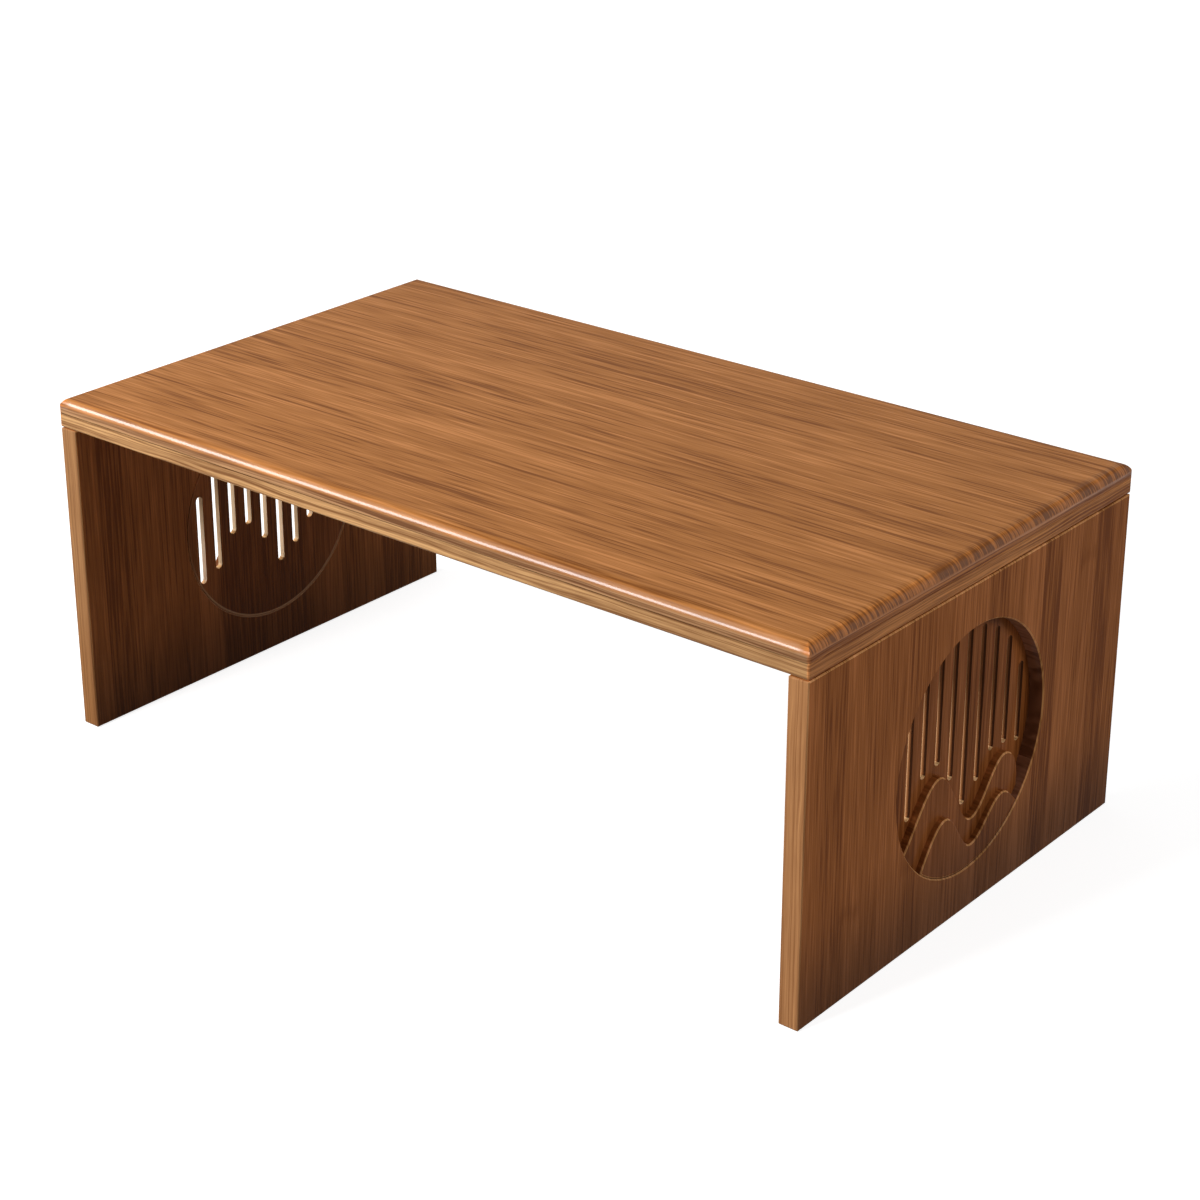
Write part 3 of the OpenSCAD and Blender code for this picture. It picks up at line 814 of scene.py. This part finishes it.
def put_in_place(shape, name, body, looks):
    """Makes the piece that stands for the CAD node of the same body and slot."""
    bmesh.ops.recalc_face_normals(shape, faces=shape.faces)
    shape.normal_update()
    for edge in shape.edges:
        edge.smooth = edge.calc_face_angle(0.0) < CREASE
    for face in shape.faces:
        face.smooth = max(abs(part) for part in face.normal) < FLAT
    mesh = bpy.data.meshes.new(name + "_board")
    shape.to_mesh(mesh)
    shape.free()
    for material in looks:
        mesh.materials.append(material)
    piece = bpy.data.objects.new(name + "_board", mesh)
    bpy.context.scene.collection.objects.link(piece)
    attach(piece, body)
    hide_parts(name)
    print(name + ":", len(mesh.polygons), "faces")

# %% [markdown]
# The top is one laminated board. Its roundover, its V line and its rounded corners are cut in
# the construction, so it only has to be merged. Its material tells the face from the edge by
# place, and one look does for all of it.

# %% The top
put_in_place(merged_copy("tabletop"), "tabletop", "top", [BAMBOO_TOP])

# %% [markdown]
# A leg is a slab with a round hole. Its arrises and the rim of the hole are chamfered, and
# these narrow slopes get a paler tint: a painted highlight. The wall of the hole gets a darker
# tint: painted shade. A face's tilt tells a chamfer from the board's faces, and its distance
# from the hole's axis tells the wall from the board's edges.

# %% The legs
LEG_LOOKS = [BAMBOO_LEG, BAMBOO_HIGHLIT, BAMBOO_WALL_SHADE]
CHAMFER_TILT = (0.3, 0.95)
UPRIGHT_TILT = 0.1
WALL_REACH = DISC_RADIUS + 1 * MM


def from_hole_axis(face):
    middle = face.calc_center_median()
    return math.hypot(middle.y, middle.z - DISC_MIDDLE_Z)


def leg_look(face):
    tilt = abs(face.normal.x)
    if CHAMFER_TILT[0] < tilt < CHAMFER_TILT[1]:
        return BAMBOO_HIGHLIT
    # The hole's wall gets painted shade
    on_wall = tilt < UPRIGHT_TILT and from_hole_axis(face) < WALL_REACH
    return BAMBOO_WALL_SHADE if on_wall else BAMBOO_LEG


def make_leg(side):
    shape = merged_copy(side + "_leg")
    plain, highlit, walls = paint(shape, LEG_LOOKS, leg_look)
    put_in_place(shape, side + "_leg", side + "_leg_body", LEG_LOOKS)
    print(side, "leg:", plain, "plain faces,", highlit, "rubbed pale,", walls, "on the wall")


for leg_side in ("left", "right"):
    make_leg(leg_side)

# %% [markdown]
# The medallion is carved: two rows of hills stand in front of a pierced sky. A carver runs a
# rounding tool along each hill, so the hills' edges get a wider bevel than the slots'. A hill's
# edge is told from a slot's by its place: it lies in front of the sky's face. The hills' edges
# that look up or to the front get a painted highlight, the pale tint. Where a hill falls away
# to the back, the edge keeps the carving's tint.

# %% The medallions
CARVING_LOOKS = [BAMBOO_CARVING_SHADED, BAMBOO_CUT, BAMBOO_HIGHLIT, BAMBOO_SLOT_FOOT_LIT]
SKY_FRONT = 5.0 * MM
HILL_EDGE = 1.0 * MM
HILL_SEGMENTS = 3
SLOT_EDGE = 0.4 * MM
SLOT_SEGMENTS = 2
SLOTS_REACH = DISC_RADIUS - 3 * MM
FACES_UP = 0.6
HIGHLIT_TILT = (0.1, 0.97)
TURNED_BACK = 0.6


def depth_of(point):
    """How far a point lies from the inner face of its leg, towards the outside."""
    return abs(point.x) - DISC_LOW.x


def on_hill(edge):
    return is_sharp(edge) and min(depth_of(vertex.co) for vertex in edge.verts) > SKY_FRONT


def in_slot(face):
    return (abs(face.normal.x) < UPRIGHT_TILT
            and depth_of(face.calc_center_median()) < SKY_FRONT
            and from_hole_axis(face) < SLOTS_REACH)


def on_highlit_edge(face):
    """The hills' edges that get a painted highlight: those that look up or to the front."""
    in_front = depth_of(face.calc_center_median()) > SKY_FRONT
    sideways = math.hypot(face.normal.y, face.normal.z)
    return (in_front and HIGHLIT_TILT[0] < abs(face.normal.x) < HIGHLIT_TILT[1]
            and face.normal.y < TURNED_BACK * sideways)


def carving_look(face):
    if in_slot(face):
        # A slot's upward foot gets painted light
        return BAMBOO_SLOT_FOOT_LIT if face.normal.z > FACES_UP else BAMBOO_CUT
    return BAMBOO_HIGHLIT if on_highlit_edge(face) else BAMBOO_CARVING_SHADED


def make_medallion(side):
    shape = merged_copy(side + "_medallion")
    hills = soften(shape, HILL_EDGE, HILL_SEGMENTS, on_hill)
    paint(shape, CARVING_LOOKS, carving_look)
    slots = soften(shape, SLOT_EDGE, SLOT_SEGMENTS)
    put_in_place(shape, side + "_medallion", side + "_leg_body", CARVING_LOOKS)
    print(side, "medallion:", hills, "hill edges and", slots, "other edges softened")


for leg_side in ("left", "right"):
    make_medallion(leg_side)

# %% [markdown]
# The stage is a pale floor that runs on far behind the table. It glows where the camera or a
# shiny surface sees it, and a little more in the distance, so it meets the white surround
# without a horizon. For the light that it throws back up it is a plain dull grey, or the
# underside of the table would be lit like a lampshade.

# %% The floor
FLOOR_REACH = 12.0
FLOOR_DROP = 0.0004
FLOOR_SEEN = (0.50, 0.50, 0.50, 1)
FLOOR_BOUNCE = (0.24, 0.23, 0.22, 1)
FLOOR_GLOW = 0.83
FLOOR_FADE = (1.0, 4.0)
FLOOR_ROUGHNESS = 0.9


def seen_directly(tree):
    """1 for what the camera sees straight, in a shiny surface or through glass, else 0."""
    paths = add(tree, "ShaderNodeLightPath").outputs
    seen = math_node(tree, "MAXIMUM", paths["Is Camera Ray"], paths["Is Glossy Ray"])
    return math_node(tree, "MAXIMUM", seen, paths["Is Transmission Ray"])


def make_floor():
    sheet = bmesh.new()
    bmesh.ops.create_grid(sheet, x_segments=1, y_segments=1, size=FLOOR_REACH)
    bmesh.ops.translate(sheet, vec=(0, 0, -FLOOR_DROP), verts=sheet.verts)
    mesh = bpy.data.meshes.new("floor")
    sheet.to_mesh(mesh)
    sheet.free()
    floor = bpy.data.objects.new("floor", mesh)
    bpy.context.scene.collection.objects.link(floor)
    material, tree, shader = new_material("pale_floor")
    place = object_place(tree)
    seen = seen_directly(tree)
    away = add(tree, "ShaderNodeVectorMath", {0: place}, operation="LENGTH").outputs["Value"]
    glow = step_node(tree, away, *FLOOR_FADE, FLOOR_GLOW, 1.0)
    feed(tree, shader.inputs["Base Color"], blend_node(tree, seen, FLOOR_BOUNCE, FLOOR_SEEN))
    shader.inputs["Emission Color"].default_value = (1, 1, 1, 1)
    feed(tree, shader.inputs["Emission Strength"], math_node(tree, "MULTIPLY", seen, glow))
    shader.inputs["Roughness"].default_value = FLOOR_ROUGHNESS
    shader.inputs["Specular IOR Level"].default_value = 0.0
    mesh.materials.append(material)


make_floor()
print("floor:", 2 * FLOOR_REACH, "m wide")

# %% [markdown]
# The light is soft. The key lamp stands to the left and in front, so the upper face and the
# front edge are bright and the right-hand leg is in shade. Shiny surfaces don't see it, for it
# would lie as a patch on the lacquer. A long low strip lamp does the opposite job: its
# reflection is the bright line along the roundover. A small lamp in front opens the shade and
# picks out the carving, one overhead lifts the top, and one on the right fills the outer face
# of the right-hand leg. The surround is white to the eye but gives little light.

# %% The light
WORLD_FILL = 0.15
# Name, place, what it points at, its width and height in metres, and its power in watts
LAMPS = (
    ("key", (-1.80, -1.35, 2.30), (0, 0, 0.25), (1.6, 1.2), 42.6),
    ("edge_light", (-1.50, -1.67, 1.25), (0, 0, 0.25), (2.2, 0.5), 25.0),
    ("front", (-0.40, -2.60, 1.45), (0, 0, 0.15), (0.5, 0.5), 52.0),
    ("overhead", (-0.3, 0.2, 2.6), (0, 0, 0.2), (1.4, 1.4), 4.0),
    ("right_fill", (2.7, 0.6, 1.7), (0, 0, 0.15), (1.4, 1.2), 22.0),
)
HIDDEN_FROM_SHINE = "key"


def make_world():
    world = bpy.data.worlds.new("studio")
    bpy.context.scene.world = world
    world.use_nodes = True
    tree = world.node_tree
    back = tree.nodes["Background"]
    feed(tree, back.inputs["Color"], (1, 1, 1, 1))
    feed(tree, back.inputs["Strength"],
         math_node(tree, "MULTIPLY_ADD", seen_directly(tree), 1.0 - WORLD_FILL, WORLD_FILL))


def area_lamp(name, place, aim, size, power):
    data = bpy.data.lights.new(name, "AREA")
    data.shape = "RECTANGLE"
    data.size, data.size_y = size
    data.energy = power
    lamp = bpy.data.objects.new(name, data)
    lamp.location = place
    lamp.rotation_mode = "QUATERNION"
    lamp.rotation_quaternion = (Vector(aim) - Vector(place)).to_track_quat("-Z", "Y")
    lamp.visible_glossy = name != HIDDEN_FROM_SHINE
    bpy.context.scene.collection.objects.link(lamp)


make_world()
for lamp_values in LAMPS:
    area_lamp(*lamp_values)
print("lamps:", ", ".join(values[0] for values in LAMPS))

# %% [markdown]
# Colours are written as they should appear, so the view transform is plain Standard.

# %% Finish
bpy.context.scene.view_settings.view_transform = "Standard"
